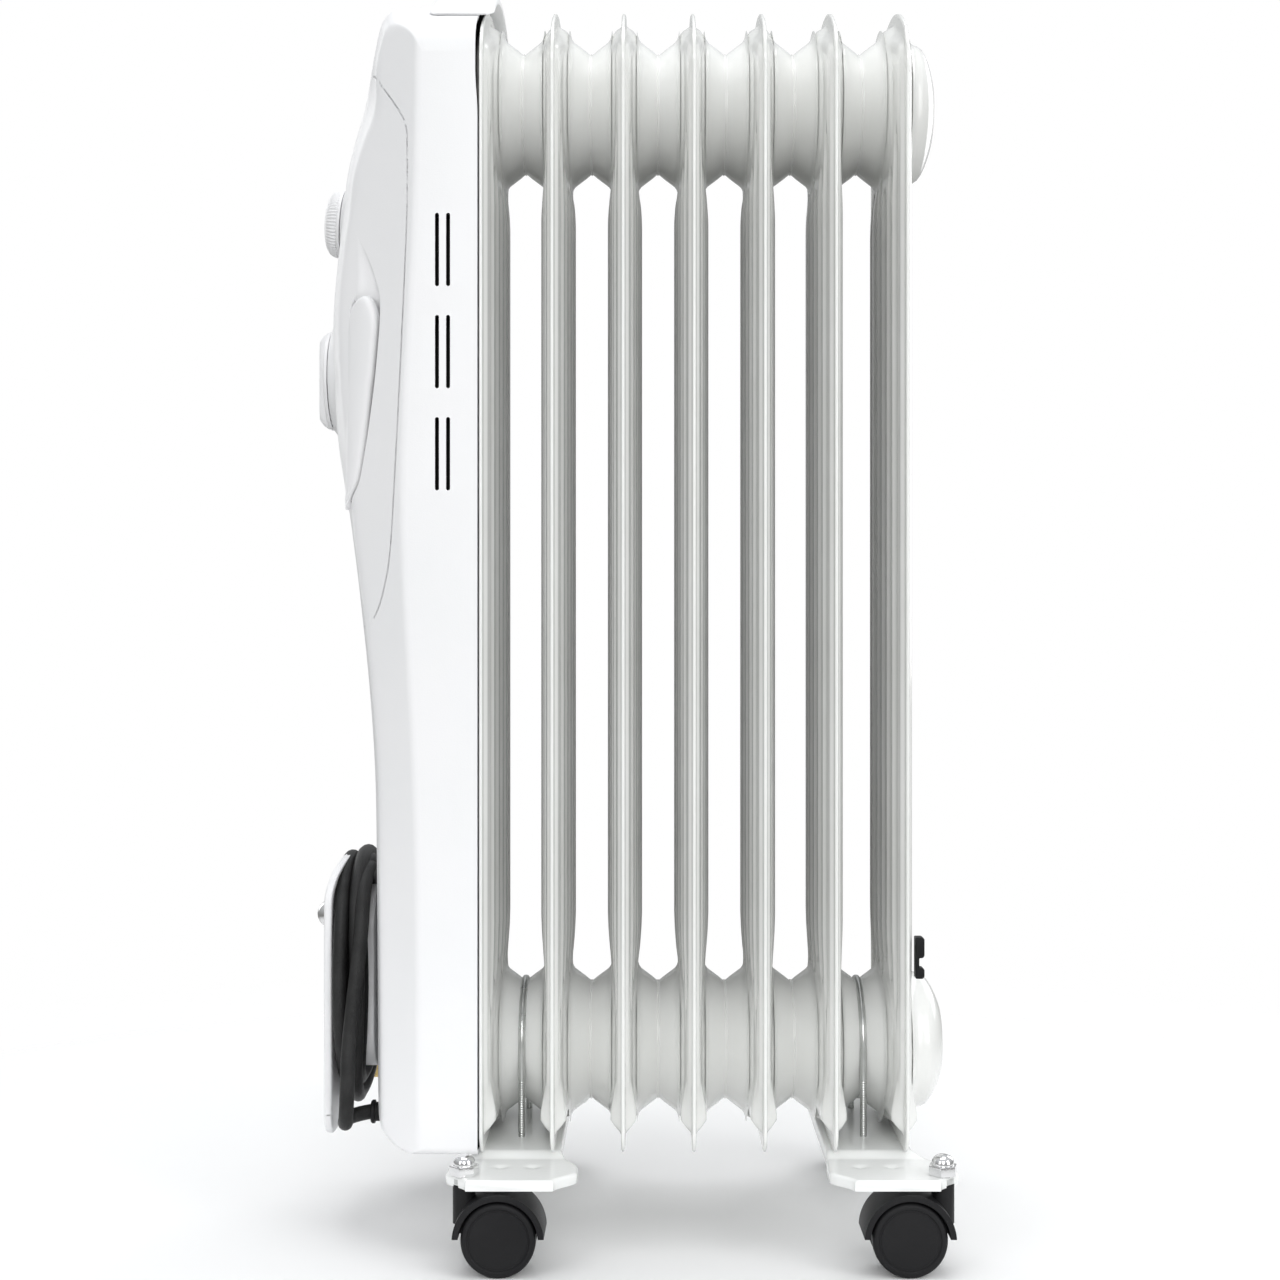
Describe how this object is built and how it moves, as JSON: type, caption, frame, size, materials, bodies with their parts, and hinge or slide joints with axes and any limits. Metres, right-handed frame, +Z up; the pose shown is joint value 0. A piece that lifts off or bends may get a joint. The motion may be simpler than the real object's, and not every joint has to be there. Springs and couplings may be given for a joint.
{
  "type": "oil filled radiator heater",
  "caption": "Free-standing oil filled column radiator with a moulded control housing, two knobs, a cord winder and twin wheel casters.",
  "frame": {"origin": "on the floor under the middle of the heater, measured without its cord", "axes": "+X from the control end to the rear end, +Y across the fins, +Z up"},
  "size_m": [0.337, 0.2254, 0.656],
  "materials": {
    "fin_enamel": "gloss white stoved enamel",
    "housing_plastic": "satin white moulded plastic",
    "knob_plastic": "satin white moulded plastic",
    "foot_enamel": "white stoved enamel",
    "zinc_steel": "bright zinc plate",
    "chrome": "bright chrome plate",
    "bare_steel": "bare steel",
    "brass": "machined brass",
    "black_plastic": "black moulded nylon",
    "dark_plastic": "dark thermoset plastic",
    "cord_rubber": "matte black rubber sheath",
    "seal": "fibre reinforced seal",
    "wire": "insulated wire"
  },
  "bodies": {
    "root": {"fin_1": "fin_enamel", "fin_2": "fin_enamel", "fin_3": "fin_enamel", "fin_4": "fin_enamel", "fin_5": "fin_enamel", "fin_6": "fin_enamel", "fin_7": "fin_enamel", "header_collars_lower": "fin_enamel", "header_collars_upper": "fin_enamel", "rear_cap_lower": "fin_enamel", "rear_cap_upper": "fin_enamel", "front_cap_upper": "fin_enamel", "heater_gasket": "seal", "heater_flange": "brass", "heating_elements": "bare_steel", "element_terminals": "bare_steel", "housing_shell": "housing_plastic", "front_fascia": "housing_plastic", "control_pod": "housing_plastic", "carry_handle": "housing_plastic", "winder_plate": "housing_plastic", "winder_post": "housing_plastic", "heat_shield": "bare_steel", "shield_screws": "zinc_steel", "thermostat_body": "dark_plastic", "selector_switch": "dark_plastic", "terminal_block": "dark_plastic", "thermal_cutout": "bare_steel", "internal_wiring": "wire", "foot_plate_front": "foot_enamel", "u_bolt_front": "zinc_steel", "foot_plate_rear": "foot_enamel", "u_bolt_rear": "zinc_steel", "wing_nuts": "zinc_steel", "acorn_nuts": "chrome", "caster_stems": "zinc_steel", "winder_screw": "chrome", "cord_coil": "cord_rubber", "cord_lead": "cord_rubber", "cord_tail": "cord_rubber", "cord_gland": "black_plastic", "plug_body": "cord_rubber", "plug_pins": "brass", "rear_clip": "black_plastic"},
    "thermostat_control": {"thermostat_knob": "knob_plastic", "thermostat_spindle": "bare_steel"},
    "selector_control": {"selector_knob": "knob_plastic", "selector_spindle": "bare_steel"},
    "swivel_front_left": {"caster_hood_front_left": "black_plastic"},
    "wheels_front_left": {"caster_wheels_front_left": "black_plastic", "caster_axle_front_left": "bare_steel"},
    "swivel_front_right": {"caster_hood_front_right": "black_plastic"},
    "wheels_front_right": {"caster_wheels_front_right": "black_plastic", "caster_axle_front_right": "bare_steel"},
    "swivel_rear_left": {"caster_hood_rear_left": "black_plastic"},
    "wheels_rear_left": {"caster_wheels_rear_left": "black_plastic", "caster_axle_rear_left": "bare_steel"},
    "swivel_rear_right": {"caster_hood_rear_right": "black_plastic"},
    "wheels_rear_right": {"caster_wheels_rear_right": "black_plastic", "caster_axle_rear_right": "bare_steel"}
  },
  "joints": [
    {"name": "thermostat_turn", "type": "hinge", "parent": "root", "child": "thermostat_control", "pos_m": [-0.1539, 0, 0.537], "axis": [-0.9962, 0, 0.0872], "range_deg": [-270, 0]},
    {"name": "selector_turn", "type": "hinge", "parent": "root", "child": "selector_control", "pos_m": [-0.1594, 0, 0.452], "axis": [-1, 0, 0], "range_deg": [-135, 0]},
    {"name": "swivel_front_left", "type": "hinge", "parent": "root", "child": "swivel_front_left", "pos_m": [-0.0795, -0.0985, 0.035], "axis": [0, 0, 1], "continuous": true},
    {"name": "roll_front_left", "type": "hinge", "parent": "swivel_front_left", "child": "wheels_front_left", "pos_m": [-0.0619, -0.0985, 0.0184], "axis": [0, 1, 0], "continuous": true},
    {"name": "swivel_front_right", "type": "hinge", "parent": "root", "child": "swivel_front_right", "pos_m": [-0.0795, 0.0985, 0.035], "axis": [0, 0, 1], "continuous": true},
    {"name": "roll_front_right", "type": "hinge", "parent": "swivel_front_right", "child": "wheels_front_right", "pos_m": [-0.0619, 0.0985, 0.0184], "axis": [0, 1, 0], "continuous": true},
    {"name": "swivel_rear_left", "type": "hinge", "parent": "root", "child": "swivel_rear_left", "pos_m": [0.1565, -0.0985, 0.035], "axis": [0, 0, 1], "continuous": true},
    {"name": "roll_rear_left", "type": "hinge", "parent": "swivel_rear_left", "child": "wheels_rear_left", "pos_m": [0.1389, -0.0985, 0.0184], "axis": [0, 1, 0], "continuous": true},
    {"name": "swivel_rear_right", "type": "hinge", "parent": "root", "child": "swivel_rear_right", "pos_m": [0.1565, 0.0985, 0.035], "axis": [0, 0, 1], "continuous": true},
    {"name": "roll_rear_right", "type": "hinge", "parent": "swivel_rear_right", "child": "wheels_rear_right", "pos_m": [0.1389, 0.0985, 0.0184], "axis": [0, 1, 0], "continuous": true}
  ]
}
